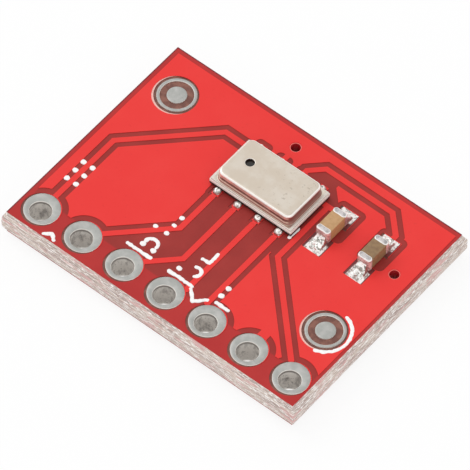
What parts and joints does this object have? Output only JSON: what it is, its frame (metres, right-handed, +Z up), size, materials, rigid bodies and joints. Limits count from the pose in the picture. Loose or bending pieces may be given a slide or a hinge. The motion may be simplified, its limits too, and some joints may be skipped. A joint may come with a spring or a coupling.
{
  "type": "barometric pressure sensor module",
  "caption": "Small red breakout board with a metal-lidded air pressure sensor, chip capacitors, fiducial targets and a row of plated holes for a pin header.",
  "frame": {"origin": "middle of the underside of the board", "axes": "+X along the row of header holes, +Y from the header row to the back edge, +Z up through the sensor"},
  "size_m": [0.018, 0.0132, 0.0026],
  "materials": {
    "laminate": "satin, glass fibre in resin",
    "solder_mask": "gloss",
    "copper": "bright foil, seen only through the mask",
    "tin": "dull tin",
    "legend": "matt ink",
    "base_ceramic": "dark and matt",
    "lid_metal": "satin",
    "adhesive": "matt",
    "pedestal_glass": "clear",
    "silicon": "polished",
    "gold": "bright",
    "gel": "clear and soft",
    "solder": "bright",
    "light_ceramic": "satin",
    "dark_ceramic": "satin",
    "end_metal": "bright tin"
  },
  "bodies": {
    "root": {"laminate": "laminate", "header_hole_1": "tin", "header_hole_2": "tin", "header_hole_3": "tin", "header_hole_4": "tin", "header_hole_5": "tin", "header_hole_6": "tin", "header_hole_7": "tin", "back_via": "copper", "side_via": "copper", "ground_pour_front": "copper", "ground_pour_back": "copper", "ground_pour_bottom": "copper", "trace_pin_1": "copper", "trace_pin_2": "copper", "trace_pin_3": "copper", "trace_pin_4": "copper", "trace_pin_5": "copper", "trace_pin_7": "copper", "trace_supply": "copper", "fiducial_disc_left": "tin", "fiducial_ring_left": "tin", "fiducial_disc_right": "tin", "fiducial_ring_right": "tin", "solder_mask_top": "solder_mask", "solder_mask_bottom": "solder_mask", "legend_print": "legend", "sensor_base": "base_ceramic", "sensor_lid": "lid_metal", "lid_seal": "adhesive", "pedestal_adhesive": "adhesive", "converter_adhesive": "adhesive", "glass_pedestal": "pedestal_glass", "pressure_die": "silicon", "converter_die": "silicon", "bond_wires": "gold", "package_gel": "gel", "package_contacts": "gold", "sensor_joint_front_1": "solder", "sensor_joint_front_2": "solder", "sensor_joint_front_3": "solder", "sensor_joint_front_4": "solder", "sensor_joint_back_1": "solder", "sensor_joint_back_2": "solder", "sensor_joint_back_3": "solder", "sensor_joint_back_4": "solder", "capacitor_left_body": "light_ceramic", "capacitor_left_end_front": "end_metal", "capacitor_left_solder_front": "solder", "capacitor_left_end_back": "end_metal", "capacitor_left_solder_back": "solder", "capacitor_right_body": "dark_ceramic", "capacitor_right_end_front": "end_metal", "capacitor_right_solder_front": "solder", "capacitor_right_end_back": "end_metal", "capacitor_right_solder_back": "solder"}
  },
  "joints": []
}
